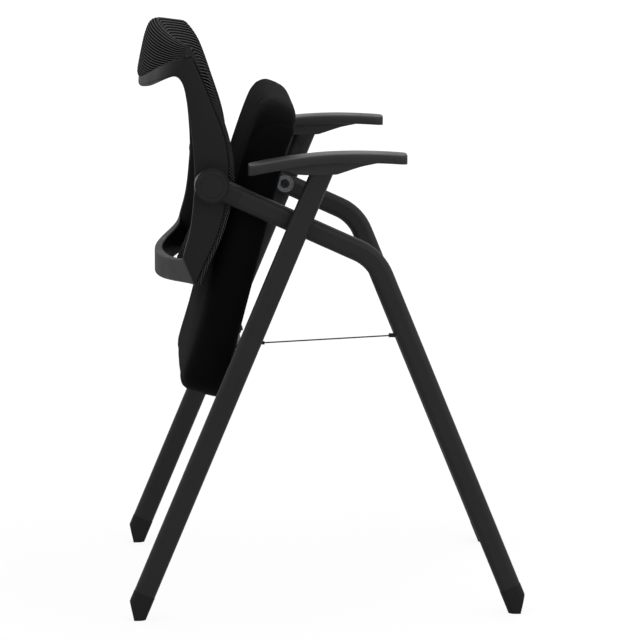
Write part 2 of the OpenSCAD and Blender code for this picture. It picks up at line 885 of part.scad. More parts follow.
module hub_caps() {
    color([0.14, 0.14, 0.15])
        both_sides()
            at_hub()
                difference() {
                    union() {
                        drum(cap_d - 2 * hub_draft, cap_d, -hub_out - cap_t, -hub_out);
                        rod(recess_d - 2 * seat_gap, -hub_out, -hub_out + cap_lip_t);
                    }
                    difference() {
                        rod(cap_ring_d, -hub_out - cap_t - over, -hub_out - cap_t + cap_ring_deep);
                        rod(cap_ring_d - 2 * cap_lip_t, -hub_out - cap_t - 2 * over, -hub_out - cap_t + over);
                    }
                }
}

module hub_bolts() {
    head = -hub_out + recess_deep;
    tip = -rail_out + rail_t + soft_gap + hub_nut_h;
    color([0.5, 0.5, 0.52])
        both_sides()
            at_hub()
                difference() {
                    union() {
                        rod(hub_bolt_d, head - over, tip);
                        rod(bolt_head_d, head - bolt_head_h, head);
                    }
                    hex_socket(bolt_hex, head - bolt_head_h - over, head - bolt_head_h / 2);
                }
}

module hub_nuts() {
    face = -rail_out + rail_t + soft_gap;
    color([0.5, 0.5, 0.52])
        both_sides()
            at_hub()
                difference() {
                    union() {
                        hex_socket(hub_nut_d, face + hub_nut_h / 4, face + hub_nut_h);
                        rod(hub_nut_round_d, face, face + hub_nut_h / 4);
                    }
                    rod(hub_bolt_d + 2 * run_fit, face - over, face + hub_nut_h + over);
                }
}

module flex_rings() {
    color([0.05, 0.05, 0.05])
        both_sides()
            at_hub()
                difference() {
                    rod(ring_d, -hub_in - ring_deep, -hub_in);
                    rod(ring_bore, -hub_in - ring_deep - over, -hub_in + over);
                }
}

module hub_bushes() {
    color([0.85, 0.85, 0.8])
        both_sides()
            at_hub()
                difference() {
                    rod(hub_bolt_d + 2 * bush_wall, -rail_out, -rail_out + rail_t);
                    rod(hub_bolt_d + 2 * run_fit, -rail_out - over, -rail_out + rail_t + over);
                }
}

// Back frame: one moulded ring of two side rails, a top rail and a lower rail that bow to the rear

rail_out = hub_in - soft_gap;
rail_bevel = 5;
// Front and rear edges of a side rail along its height, as shares of its reach in front of the hub
rail_front_shares = [[0, -0.96], [0.1, -0.4], [0.2, 0.22], [0.34, 0.78], [0.49, 1], [0.64, 0.78], [0.8, 0],
    [0.9, -0.52], [1, -1.12]];
rail_rear_shares = [[0, -2.1], [0.07, -1.84], [0.14, -1.62], [0.22, -1.33], [0.29, -1.17], [0.38, -1.05],
    [0.47, -0.98], [0.6, -1.07], [0.72, -1.25], [0.86, -1.55], [1, -1.76]];
low_inner_share = 0.13;
top_inner_share = 0.92;
low_rise_share = 0.4;
rail_steps = 14;
bow_steps = 7;
top_shift = 5;
top_inner_less = 4;

function rail_x(table, t) = hub_x + rail_reach * curve(table, t);
function spot(x, phi, z) = [x, -rail_out * cos(phi), z];
function low_bow_share(phi) = blend_of(sin(phi), pow(sin(phi), 3), 0.8);

// Stations of the ring's right half: edge a runs outside, edge b round the opening, phi 0 at the rail
low_a = [for (k = [0 : bow_steps - 1]) let (phi = 90 - 90 * k / bow_steps)
    [spot(rail_x(rail_front_shares, 0) - low_bow * low_bow_share(phi), phi,
        rail_z - low_rise_share * low_rail_h * pow(sin(phi), 4)),
    spot(blend_of(rail_x(rail_rear_shares, low_inner_share), rail_x(rail_front_shares, 0) - low_bow,
        low_bow_share(phi)), phi, blend_of(rail_z + low_inner_share * rail_h,
        rail_z + low_rail_h * (1 - low_rise_share), sin(phi))), phi]];
rail_ab = [for (k = [0 : rail_steps]) let (t = k / rail_steps,
        tb = blend_of(low_inner_share, top_inner_share, t))
    [spot(rail_x(rail_front_shares, t), 0, rail_z + t * rail_h),
    spot(rail_x(rail_rear_shares, tb), 0, rail_z + tb * rail_h), 0]];
top_ab = [for (k = [1 : bow_steps]) let (phi = 90 * k / bow_steps, droop = top_droop * sin(phi) * sin(phi))
    [spot(rail_x(rail_front_shares, 1) - top_bow * sin(phi) - top_shift, phi,
        rail_z + rail_h - droop),
    spot(rail_x(rail_rear_shares, top_inner_share) - (top_bow - top_inner_less) * sin(phi), phi,
        blend_of(rail_z + top_inner_share * rail_h, rail_z + rail_h - top_droop - top_rail_h,
            sin(phi) * sin(phi))), phi]];

function rail_thick(phi) = blend_of(rail_t, cross_rail_t, sin(phi));

// Section of the ring between its edges a and b, bevelled, its depth towards the middle of the chair
function ring_section(station, side) = let (
        a = station[0], b = station[1], phi = station[2],
        d = unit(b - a), long = norm(b - a), thick = rail_thick(phi),
        inward = [sin(phi), cos(phi), 0])
    [for (p = soft_rect(long / 2, thick / 2, rail_bevel)) let (
        spot3 = (a + b) / 2 + d * p[0] + inward * (p[1] + thick / 2))
    [spot3[0], side * spot3[1], spot3[2]]];

half_ring = concat(low_a, rail_ab, top_ab);

module back_frame() {
    count = len(half_ring);
    right = [for (k = [0 : count - 1]) ring_section(half_ring[k], 1)];
    left = [for (k = [count - 2 : -1 : 1]) ring_section(half_ring[k], -1)];
    color([0.16, 0.16, 0.17])
        difference() {
            loop_skin(concat(right, left));
            both_sides()
                at_hub()
                    rod(hub_bolt_d + 2 * bush_wall + seat_gap, -hub_in - over, -rail_out + rail_t + 2 * over);
        }
}

// Mesh: stretched over the front of the rails, over the crest and down to the top rail behind

mesh_inset = 1.5;
mesh_half = rail_out - mesh_inset;
mesh_rows = rail_steps;
crest_rows = 6;
mesh_cols = 16;
mesh_end_t = 1.2;
mesh_turn_share = 0.96;
mesh_reach_share = 0.995;
crest_back = 26;
crest_lift = 16;

// Bow of the mesh: it starts inside the rails, and reaches the outer edges and grows rounder at the crest
function bow_share(u, t) = pow(max(0, 1 - pow(u / blend_of((rail_out - rail_t) / mesh_half, 1, pow(t, 5)), 2)),
    blend_of(1, 0.8, pow(t, 3)));

// How far the mesh's face stands in front of the rails, as a share of its edge thickness
mesh_front_shares = [[0, 1], [0.5, 1], [0.66, 0.82], [0.8, 1.02], [0.92, 1.06], [0.97, 0.96], [1, 0.5]];

function front_spot(u, t) = let (
        lift = pow(t, 5), bow = blend_of(mesh_bow, top_bow - crest_back, lift))
    [rail_x(rail_front_shares, t) + mesh_edge_t * curve(mesh_front_shares, t) - bow * bow_share(u, t),
        u * mesh_half,
        rail_z + rail_h * t + crest_lift * lift
            + (crest_rise - crest_lift) * lift * pow(max(0, 1 - u * u), 1.3)];

// Rear panel from the crest, s = 0, down to the top rail, s = 1
rear_back_shares = [[0, 0], [0.15, 0.4], [0.4, 0.72], [0.7, 0.92], [1, 1]];
rear_drop_shares = [[0, 0], [0.15, 0.02], [0.4, 0.26], [0.7, 0.62], [1, 1]];

function rear_spot(u, s) = let (
        h = sqrt(max(0, 1 - u * u)),
        from = front_spot(u, 1),
        to = [rail_x(rail_front_shares, 1) - top_shift - top_bow * h, u * mesh_half,
            rail_z + rail_h - top_droop * h * h + soft_gap])
    [blend_of(from[0], to[0], curve(rear_back_shares, s)), u * mesh_half,
        blend_of(from[2], to[2], curve(rear_drop_shares, s))];

function mesh_spot(u, v) = v <= 1 ? front_spot(u, v) : rear_spot(u, v - 1);

function mesh_normal(u, v) = let (e = 0.01,
        across = mesh_spot(u + e, v) - mesh_spot(u - e, v),
        along = mesh_spot(u, min(v + e, 2)) - mesh_spot(u, max(v - e, 0)))
    unit(cross(across, along));

mesh_us = [for (k = [0 : mesh_cols]) mesh_reach_share * sin(90 * (2 * k / mesh_cols - 1))];
mesh_vs = concat([for (k = [0 : mesh_rows]) k / mesh_rows], [for (k = [1 : crest_rows]) 1 + k / crest_rows]);

module back_mesh() {
    cols = mesh_cols + 1;
    rows = len(mesh_vs);
    outer = [for (v = mesh_vs) for (u = mesh_us) mesh_spot(u, v)];
    inner = [for (v = mesh_vs) for (u = mesh_us)
        mesh_spot(u, v) - mesh_normal(u * mesh_turn_share, v)
            * blend_of(blend_of(mesh_t, mesh_edge_t * curve(mesh_front_shares, min(v, 1)) - soft_gap,
                pow(abs(u), 8)), mesh_end_t, max(0, v - 1))];
    half = cols * rows;
    cells = [for (r = [0 : rows - 2]) for (c = [0 : cols - 2]) r * cols + c];
    rim = concat([for (c = [0 : cols - 2]) c], [for (r = [0 : rows - 2]) r * cols + cols - 1],
        [for (c = [cols - 1 : -1 : 1]) (rows - 1) * cols + c], [for (r = [rows - 1 : -1 : 1]) r * cols]);
    color([0.04, 0.04, 0.04])
        polyhedron(points = concat(outer, inner), faces = concat(
            [for (k = cells) [k, k + cols, k + 1]],
            [for (k = cells) [k + cols, k + cols + 1, k + 1]],
            [for (k = cells) [half + k, half + k + 1, half + k + cols]],
            [for (k = cells) [half + k + cols, half + k + 1, half + k + cols + 1]],
            [for (k = [0 : len(rim) - 1]) let (p = rim[k], q = rim[(k + 1) % len(rim)]) [p, q, half + p]],
            [for (k = [0 : len(rim) - 1]) let (p = rim[k], q = rim[(k + 1) % len(rim)]) [q, half + q, half + p]]));
}

module rear_leg_right() { rear_leg(); }
module rear_leg_left() { mirror([0, 1, 0]) rear_leg(); }
module side_tube_right() { side_tube(); }
module side_tube_left() { mirror([0, 1, 0]) side_tube(); }
module arm_support_right() { arm_support(); }
module arm_support_left() { mirror([0, 1, 0]) arm_support(); }
module arm_pad_right() { arm_pad(); }
module arm_pad_left() { mirror([0, 1, 0]) arm_pad(); }
module knuckle_right() { knuckle(); }
module knuckle_left() { mirror([0, 1, 0]) knuckle(); }

rear_leg_right();
rear_leg_left();
side_tube_right();
side_tube_left();
rear_feet();
front_feet();
arm_support_right();
arm_support_left();
arm_pad_right();
arm_pad_left();
arm_screws();
crossing_spacers();
crossing_bolts();
saddle_washers();
crossing_nuts();
seat_axle();
stay_wire();
stay_lugs();
knuckle_right();
knuckle_left();
hub_caps();
hub_bolts();
hub_nuts();
flex_rings();
hub_bushes();
back_frame();
back_mesh();
seat_cushion();
seat_board();
hinge_brackets();
hinge_bushes();
bracket_screws();
tee_nuts();
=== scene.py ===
import bpy
import bmesh
import math
from mathutils import Matrix, Vector


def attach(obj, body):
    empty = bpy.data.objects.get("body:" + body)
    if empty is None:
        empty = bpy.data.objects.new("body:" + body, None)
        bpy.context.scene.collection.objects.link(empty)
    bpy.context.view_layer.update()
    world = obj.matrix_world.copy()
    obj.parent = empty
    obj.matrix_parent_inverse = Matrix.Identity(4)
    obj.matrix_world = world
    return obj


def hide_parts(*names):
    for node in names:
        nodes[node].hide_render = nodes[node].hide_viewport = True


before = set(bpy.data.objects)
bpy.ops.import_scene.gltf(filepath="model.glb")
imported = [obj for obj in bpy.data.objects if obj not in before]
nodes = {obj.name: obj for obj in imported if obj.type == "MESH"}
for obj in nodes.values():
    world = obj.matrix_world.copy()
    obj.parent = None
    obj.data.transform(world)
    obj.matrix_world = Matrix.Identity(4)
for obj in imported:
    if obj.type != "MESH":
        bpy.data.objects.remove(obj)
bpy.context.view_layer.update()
mm = 0.001
print("frame loaded with", len(nodes), "nodes")


# Small helpers

def deselectAll():
    if bpy.context.object and bpy.context.object.mode != "OBJECT":
        bpy.ops.object.mode_set(mode="OBJECT")
    bpy.ops.object.select_all(action="DESELECT")


def pick(piece):
    deselectAll()
    piece.select_set(True)
    bpy.context.view_layer.objects.active = piece


def applyModifier(piece, kind, **settings):
    pick(piece)
    modifier = piece.modifiers.new(kind.title(), kind)
    for name, value in settings.items():
        setattr(modifier, name, value)
    bpy.ops.object.modifier_apply(modifier=modifier.name)


def blendOf(a, b, t):
    return a + (b - a) * t


def ramp(value, start, span):  # 0 up to start, 1 from start + span on
    return min(1, max(0, (value - start) / span))


def tableValue(table, t):  # a smooth curve through a table of (where, value)
    k = 0
    while k < len(table) - 2 and t >= table[k + 1][0]:
        k += 1

    def slope(i):
        low, high = max(i - 1, 0), min(i + 1, len(table) - 1)
        return (table[high][1] - table[low][1]) / (table[high][0] - table[low][0])

    width = table[k + 1][0] - table[k][0]
    s = (t - table[k][0]) / width
    m0, m1 = slope(k) * width, slope(k + 1) * width
    return ((2 * s ** 3 - 3 * s ** 2 + 1) * table[k][1] + (s ** 3 - 2 * s ** 2 + s) * m0
            + (3 * s ** 2 - 2 * s ** 3) * table[k + 1][1] + (s ** 3 - s ** 2) * m1)


def roundedRect(a, b, r, steps):  # half sizes a and b, corner radius r
    points = []
    for corner in range(4):
        centre = Vector(((a - r) * (1 if corner in (0, 3) else -1), (b - r) * (1 if corner < 2 else -1)))
        for step in range(steps + 1):
            turn = math.radians(90 * (corner + step / steps))
            points.append(centre + r * Vector((math.cos(turn), math.sin(turn))))
    return points


def gridPiece(name, across, along, spot):  # a grid whose points are pulled to their places by spot(i, j)
    deselectAll()
    bpy.ops.mesh.primitive_grid_add(x_subdivisions=across, y_subdivisions=along, size=1)
    piece = bpy.context.object
    piece.name = piece.data.name = name
    for vertex in piece.data.vertices:
        vertex.co = spot(round((vertex.co.x + 0.5) * across), round((vertex.co.y + 0.5) * along))
    return piece


def closeShell(piece, caps=False):  # joins the seam of a grid that closes on itself
    pick(piece)
    bpy.ops.object.mode_set(mode="EDIT")
    bpy.ops.mesh.select_all(action="SELECT")
    bpy.ops.mesh.remove_doubles(threshold=0.00001)
    if caps:
        bpy.ops.mesh.select_all(action="DESELECT")
        bpy.ops.mesh.select_non_manifold()
        bpy.ops.mesh.fill_holes(sides=0)
    bpy.ops.mesh.select_all(action="SELECT")
    bpy.ops.mesh.normals_make_consistent(inside=False)
    bpy.ops.object.mode_set(mode="OBJECT")


def smooth(piece, degrees=40):
    pick(piece)
    bpy.ops.object.shade_smooth_by_angle(angle=math.radians(degrees))


def dress(piece, material, slotName, body, *replaced):
    piece.data.materials.clear()
    piece.data.materials.append(material)
    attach(piece, body)
    if replaced:
        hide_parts(*replaced)


# Camera: the photograph's long lens, a little behind the chair's right side and above it
cameraSet = {"place": (-0.2777, -5.8332, 1.2710), "lens": 225.085, "sensor": 36, "farthest": 100,
             "down": 8.6037, "turn": 2.7324, "roll": 0.0615}
cameraData = bpy.data.cameras.new("photoCamera")
camera = bpy.data.objects.new("photoCamera", cameraData)
bpy.context.scene.collection.objects.link(camera)
cameraData.sensor_fit = "HORIZONTAL"
cameraData.sensor_width = cameraSet["sensor"]
cameraData.lens = cameraSet["lens"]
cameraData.clip_end = cameraSet["farthest"]
down, turn, roll = (math.radians(cameraSet[key]) for key in ("down", "turn", "roll"))
sight = Vector((math.sin(turn) * math.cos(down), math.cos(turn) * math.cos(down), -math.sin(down)))
levelRight = Vector((math.cos(turn), -math.sin(turn), 0))
levelUp = levelRight.cross(sight)
imageRight = levelRight * math.cos(roll) + levelUp * math.sin(roll)
imageUp = levelUp * math.cos(roll) - levelRight * math.sin(roll)
camera.matrix_world = Matrix.Translation(cameraSet["place"]) @ Matrix(
    (imageRight, imageUp, -sight)).transposed().to_4x4()
bpy.context.scene.camera = camera
print("camera placed")


# Materials

def linearColor(hexCode):  # sRGB hex to linear
    values = [int(hexCode[k:k + 2], 16) / 255 for k in (1, 3, 5)]
    return tuple(v / 12.92 if v <= 0.04045 else ((v + 0.055) / 1.055) ** 2.4 for v in values) + (1,)


def addNode(tree, kind, settings=(), links=()):
    node = tree.nodes.new(kind)
    for name, value in dict(settings).items():
        if isinstance(name, str) and hasattr(node, name):
            setattr(node, name, value)
        else:
            node.inputs[name].default_value = value
    for name, socket in dict(links).items():
        tree.links.new(socket, node.inputs[name])
    return node


def newMaterial(name):
    material = bpy.data.materials.new(name)
    material.use_nodes = True
    tree = material.node_tree
    return material, tree, tree.nodes["Principled BSDF"]


cloudSpan = (0.3, 0.7)  # what most of a noise's values lie between


def solidFinish(recipe):  # painted, moulded and metal surfaces; clouds and grain have their real sizes in mm
    material, tree, shader = newMaterial(recipe["name"])
    place = addNode(tree, "ShaderNodeTexCoord").outputs["Object"]
    cloud = addNode(tree, "ShaderNodeTexNoise", {"Scale": 1 / (recipe["cloud"] * mm), "Detail": 4.0},
                    {"Vector": place})
    grain = addNode(tree, "ShaderNodeTexNoise", {"Scale": 1 / (recipe["grain"] * mm), "Detail": 2.0},
                    {"Vector": place})
    tone = addNode(tree, "ShaderNodeMix", {"data_type": "RGBA", 6: linearColor(recipe["dark"]),
                                           7: linearColor(recipe["light"])}, {0: cloud.outputs["Fac"]})
    gloss = addNode(tree, "ShaderNodeMapRange", {
        "From Min": cloudSpan[0], "From Max": cloudSpan[1],
        "To Min": recipe["rough"][0], "To Max": recipe["rough"][1]}, {"Value": cloud.outputs["Fac"]})
    bump = addNode(tree, "ShaderNodeBump", {"Strength": recipe["bump"], "Distance": recipe["depth"] * mm},
                   {"Height": grain.outputs["Fac"]})
    tree.links.new(tone.outputs[2], shader.inputs["Base Color"])
    tree.links.new(gloss.outputs["Result"], shader.inputs["Roughness"])
    tree.links.new(bump.outputs["Normal"], shader.inputs["Normal"])
    shader.inputs["Metallic"].default_value = recipe.get("metal", 0)
    if "ior" in recipe:
        shader.inputs["IOR"].default_value = recipe["ior"]
        shader.inputs["Specular IOR Level"].default_value = recipe["shine"]
    return material


finishes = {
    # Powder coat on steel tube: satin charcoal with the faint orange peel of baked paint
    "tube": {"name": "satinPowderCoat", "dark": "#1a1a1b", "light": "#202021", "cloud": 60, "grain": 1.4,
             "rough": (0.42, 0.52), "bump": 0.12, "depth": 0.15, "ior": 1.5, "shine": 0.2},
    # Injection moulded polypropylene: dull black, spark eroded grain
    "foot": {"name": "mouldedPolypropylene", "dark": "#141415", "light": "#1a1a1b", "cloud": 40, "grain": 0.9,
             "rough": (0.5, 0.62), "bump": 0.2, "depth": 0.12, "ior": 1.49, "shine": 0.15},
    # Moulded polyamide arms: charcoal, finely grained, a little glossier where hands rub
    "arm": {"name": "mouldedPolyamideArm", "dark": "#1d1d1e", "light": "#242425", "cloud": 50, "grain": 0.8,
            "rough": (0.4, 0.52), "bump": 0.22, "depth": 0.12, "ior": 1.53, "shine": 0.25},
    # Glass filled polyamide back frame: satin charcoal, even, soft moulded grain
    "back": {"name": "glassFilledPolyamide", "dark": "#1a1a1b", "light": "#212122", "cloud": 70, "grain": 1.0,
             "rough": (0.42, 0.54), "bump": 0.2, "depth": 0.12, "ior": 1.53, "shine": 0.09},
    # Moulded acetal hub and cap: the same charcoal, a touch smoother
    "hub": {"name": "mouldedAcetalHub", "dark": "#18181a", "light": "#1d1d1f", "cloud": 30, "grain": 0.8,
            "rough": (0.38, 0.48), "bump": 0.12, "depth": 0.1, "ior": 1.48, "shine": 0.18},
    # Black oxide steel: near black with an oily sheen
    "blackSteel": {"name": "blackOxideSteel", "dark": "#141414", "light": "#1d1d1e", "cloud": 8, "grain": 0.6,
                   "rough": (0.3, 0.45), "bump": 0.1, "depth": 0.05, "metal": 0.6},
    # Zinc plated steel: pale grey zinc darkened as painted shade for the saddle washers' shaded floors, lightly
    # brushed, clouded by the passivation
    "brightSteel": {"name": "zincPlatedSteel", "dark": "#5a5b5e", "light": "#77787b", "cloud": 6,
                    "grain": 0.5, "rough": (0.25, 0.4), "bump": 0.08, "depth": 0.04, "metal": 1},
    # Drawn steel wire, darkened: dull with a fine lengthwise sheen
    "wire": {"name": "drawnSteelWire", "dark": "#28282a", "light": "#3a3a3c", "cloud": 5, "grain": 0.4,
             "rough": (0.35, 0.5), "bump": 0.05, "depth": 0.03, "metal": 0.8},
    # Moulded rubber: matt black
    "rubber": {"name": "mouldedRubber", "dark": "#0d0d0d", "light": "#141414", "cloud": 10, "grain": 0.6,
               "rough": (0.75, 0.9), "bump": 0.2, "depth": 0.1, "ior": 1.5, "shine": 0.2},
    # Turned acetal bush: waxy off-white
    "bush": {"name": "turnedAcetal", "dark": "#c9c6bb", "light": "#d6d3c8", "cloud": 8, "grain": 0.5,
             "rough": (0.35, 0.45), "bump": 0.05, "depth": 0.03, "ior": 1.48, "shine": 0.5},
    # Black stained beech plywood under the seat: open grain shows as dull streaks
    "board": {"name": "stainedPlywood", "dark": "#0b0a0a", "light": "#13110f", "cloud": 25, "grain": 1.2,
              "rough": (0.55, 0.75), "bump": 0.25, "depth": 0.2, "ior": 1.5, "shine": 0.12},
}
materials = {key: solidFinish(recipe) for key, recipe in finishes.items()}


# groove is painted shade, black in the ribs' valleys; crown is painted light on the ribs' tops
knitLook = {"groove": "#000000", "crown": "#68686a", "sharp": 6, "plain": 0.28, "yarn": 1.6, "fleck": 0.35,
            "bump": 0.35, "depth": 0.25, "rough": 0.9, "shine": 0.02, "sheen": 0.005, "sheenRough": 0.4}


def ribbedKnit():  # spacer knit of polyester: ribs with painted light on their crowns and painted shade, black, in their grooves, fine yarn across them
    material, tree, shader = newMaterial("ribbedSpacerKnit")
    course = addNode(tree, "ShaderNodeAttribute", {"attribute_name": "course"}).outputs["Fac"]
    plain = addNode(tree, "ShaderNodeAttribute", {"attribute_name": "plain"}).outputs["Fac"]
    turns = addNode(tree, "ShaderNodeMath", {"operation": "MULTIPLY", 1: 2 * math.pi}, {0: course})
    wave = addNode(tree, "ShaderNodeMath", {"operation": "COSINE"}, {0: turns.outputs["Value"]})
    rib = addNode(tree, "ShaderNodeMath", {"operation": "MULTIPLY_ADD", 1: 0.5, 2: 0.5},
                  {0: wave.outputs["Value"]})
    crown = addNode(tree, "ShaderNodeMath", {"operation": "POWER", 1: knitLook["sharp"]},
                    {0: rib.outputs["Value"]})
    shown = addNode(tree, "ShaderNodeMix", {3: knitLook["plain"]}, {0: plain, 2: crown.outputs["Value"]})
    yarnPlace = addNode(tree, "ShaderNodeTexCoord").outputs["Object"]
    yarn = addNode(tree, "ShaderNodeTexNoise", {"Scale": 1 / (knitLook["yarn"] * mm), "Detail": 2.0},
                   {"Vector": yarnPlace})
    # painted light and shade across each rib: black in the grooves, lighter on the crowns
    tone = addNode(tree, "ShaderNodeMix", {"data_type": "RGBA", 6: linearColor(knitLook["groove"]),
                                           7: linearColor(knitLook["crown"])}, {0: shown.outputs[0]})
    fleck = addNode(tree, "ShaderNodeMix", {
        "data_type": "RGBA", "blend_type": "MULTIPLY", 0: knitLook["fleck"]},
        {6: tone.outputs[2], 7: yarn.outputs["Color"]})
    bump = addNode(tree, "ShaderNodeBump", {"Strength": knitLook["bump"], "Distance": knitLook["depth"] * mm},
                   {"Height": yarn.outputs["Fac"]})
    tree.links.new(fleck.outputs[2], shader.inputs["Base Color"])
    tree.links.new(bump.outputs["Normal"], shader.inputs["Normal"])
    shader.inputs["Roughness"].default_value = knitLook["rough"]
    shader.inputs["Specular IOR Level"].default_value = knitLook["shine"]
    shader.inputs["Sheen Weight"].default_value = knitLook["sheen"]
    shader.inputs["Sheen Roughness"].default_value = knitLook["sheenRough"]
    return material


waveSpan = 2 * math.pi / 20  # the bands of a wave texture lie this far apart at scale 1
weaveLook = {"dark": "#070708", "light": "#0d0d0e", "thread": 4, "cloud": 35, "wander": 0.6,
             "wanderSize": 3.0, "bump": 0.3, "depth": 0.2, "rough": 0.9, "shine": 0.04, "sheen": 0.03,
             "sheenRough": 0.35, "sheenTone": "#8a8a8e"}


def wovenUpholstery():  # woven polyester: near black, its 1 mm threads drawn 4 mm apart to show, soft nap
    material, tree, shader = newMaterial("wovenPolyester")
    place = addNode(tree, "ShaderNodeTexCoord").outputs["Object"]
    turned = addNode(tree, "ShaderNodeMapping", {"Rotation": (0, math.radians(-seatShape["lean"]), 0)},
                     {"Vector": place})
    threads = []
    for axis in ("X", "Y", "Z"):
        threads.append(addNode(tree, "ShaderNodeTexWave", {
            "wave_type": "BANDS", "bands_direction": axis, "Scale": waveSpan / (weaveLook["thread"] * mm),
            "Distortion": weaveLook["wander"], "Detail": 1.0, "Detail Scale": weaveLook["wanderSize"]},
            {"Vector": turned.outputs["Vector"]}))
    pair = addNode(tree, "ShaderNodeMath", {"operation": "ADD"},
                   {0: threads[0].outputs["Fac"], 1: threads[1].outputs["Fac"]})
    weave = addNode(tree, "ShaderNodeMath", {"operation": "ADD"},
                    {0: pair.outputs["Value"], 1: threads[2].outputs["Fac"]})
    cloud = addNode(tree, "ShaderNodeTexNoise", {"Scale": 1 / (weaveLook["cloud"] * mm), "Detail": 5.0},
                    {"Vector": place})
    tone = addNode(tree, "ShaderNodeMix", {"data_type": "RGBA", 6: linearColor(weaveLook["dark"]),
                                           7: linearColor(weaveLook["light"])}, {0: cloud.outputs["Fac"]})
    bump = addNode(tree, "ShaderNodeBump", {
        "Strength": weaveLook["bump"], "Distance": weaveLook["depth"] * mm}, {"Height": weave.outputs["Value"]})
    tree.links.new(tone.outputs[2], shader.inputs["Base Color"])
    tree.links.new(bump.outputs["Normal"], shader.inputs["Normal"])
    shader.inputs["Roughness"].default_value = weaveLook["rough"]
    shader.inputs["Specular IOR Level"].default_value = weaveLook["shine"]
    shader.inputs["Sheen Weight"].default_value = weaveLook["sheen"]
    shader.inputs["Sheen Roughness"].default_value = weaveLook["sheenRough"]
    shader.inputs["Sheen Tint"].default_value = linearColor(weaveLook["sheenTone"])
    return material


# The seat's frame: it leans with the folded seat, its base on the seat's underside
seatShape = {"pivot": (-123.411, 354.0), "lean": 14.6, "drop": 12.5, "length": 440, "width": 458, "thick": 58,
             "crown": 10, "tail": 64, "power": 8, "edge": 30, "shrink": 1, "puff": 3,
             "full": [(-1, 1.12), (-0.85, 1.04), (-0.6, 0.97), (-0.3, 0.97), (0, 1), (0.5, 0.96), (1, 0.86)],
             "insets": [(0.3, 0), (0.06, 0.03), (0, 0.11), (-0.015, 0.27), (0.01, 0.5), (0, 0.72),
                        (0.06, 0.86), (0.2, 0.95), (0.42, 1)],
             "noseInsets": [0.8, 0.56, 0.32, 0.1, 0, -0.02, 0.08, 0.28, 0.6],
             "noseMore": 4.8, "noseSag": 4.4, "sagFrom": (156, 188), "lift": 0.8,
             "ringPoints": 96, "baseRings": 8, "crownRings": 12, "voxel": 6,
             "pressure": 4, "clothQuality": 5, "clothFrames": 15, "flatPuff": 0.8, "flatUpTo": 14,
             "seam": [(196, -3), (195, 16), (192, 27), (186, 39), (180, 43), (169, 49), (150, 52), (120, 53)],
             "seamDeep": 0.9, "seamWide": 3.2, "seamSide": 0.42, "seamFrom": 100, "seamFade": 40,
             "creaseDeep": 1.3, "creasePitch": 11, "creaseFrom": (150, 100),
             "creaseFan": (0.6, 200, 0.2, 229), "creaseAlong": (205, 20), "creaseHigh": (10, 16),
             "creaseAcross": (215, 40)}
materials["mesh"] = ribbedKnit()
materials["seat"] = wovenUpholstery()

nodeFinishes = {
    "tube": ["rear_leg_right", "rear_leg_left", "side_tube_right", "side_tube_left", "seat_axle"],
    "foot": ["rear_feet", "front_feet", "crossing_spacers", "stay_lugs"],
    "arm": ["arm_support_right", "arm_support_left", "arm_pad_right", "arm_pad_left"],
    "hub": ["knuckle_right", "knuckle_left", "hub_caps"],
    "back": ["back_frame"], "mesh": ["back_mesh"], "seat": ["seat_cushion"], "board": ["seat_board"],
    "blackSteel": ["arm_screws", "crossing_bolts", "hinge_brackets", "bracket_screws"],
    "brightSteel": ["saddle_washers", "crossing_nuts", "hub_bolts", "hub_nuts", "tee_nuts"],
    "wire": ["stay_wire"], "rubber": ["flex_rings"], "bush": ["hub_bushes", "hinge_bushes"],
}
for key, names in nodeFinishes.items():
    for nodeName in names:
        nodes[nodeName].data.materials.clear()
        nodes[nodeName].data.materials.append(materials[key])
print("materials made:", len(materials))


# Back frame: a moulded ring of rails, its section rounded where it is bevelled in the solid
frameShape = {"hubX": -163.113, "reach": 24.5, "z": 474, "height": 323, "out": 240.6, "railThick": 17,
              "crossThick": 13, "lowBow": 56, "lowDrop": 13, "lowTop": 24, "lowInner": 0.13,
              "topInner": 0.92, "topShift": 5, "topBow": 69, "topInnerLess": 7, "droop": 43, "topHeight": 16,
              "bevel": 3.6, "fillet": (5, 3), "lowBend": 0.8, "topFall": 1.8,
              "lowSteps": 20, "railSteps": 40, "topSteps": 20, "bevelSteps": 5, "smoothAngle": 50,
              "front": [(0, -0.96), (0.1, -0.4), (0.2, 0.22), (0.34, 0.78), (0.49, 1), (0.64, 0.78), (0.8, 0),
                        (0.9, -0.52), (1, -1.12)],
              "rear": [(0, -2.1), (0.07, -1.84), (0.14, -1.62), (0.22, -1.33), (0.29, -1.17), (0.38, -1.05),
                       (0.47, -0.98), (0.6, -1.07), (0.72, -1.25), (0.86, -1.55), (1, -1.76)]}


def railX(side, t):
    return frameShape["hubX"] + frameShape["reach"] * tableValue(frameShape[side], t)


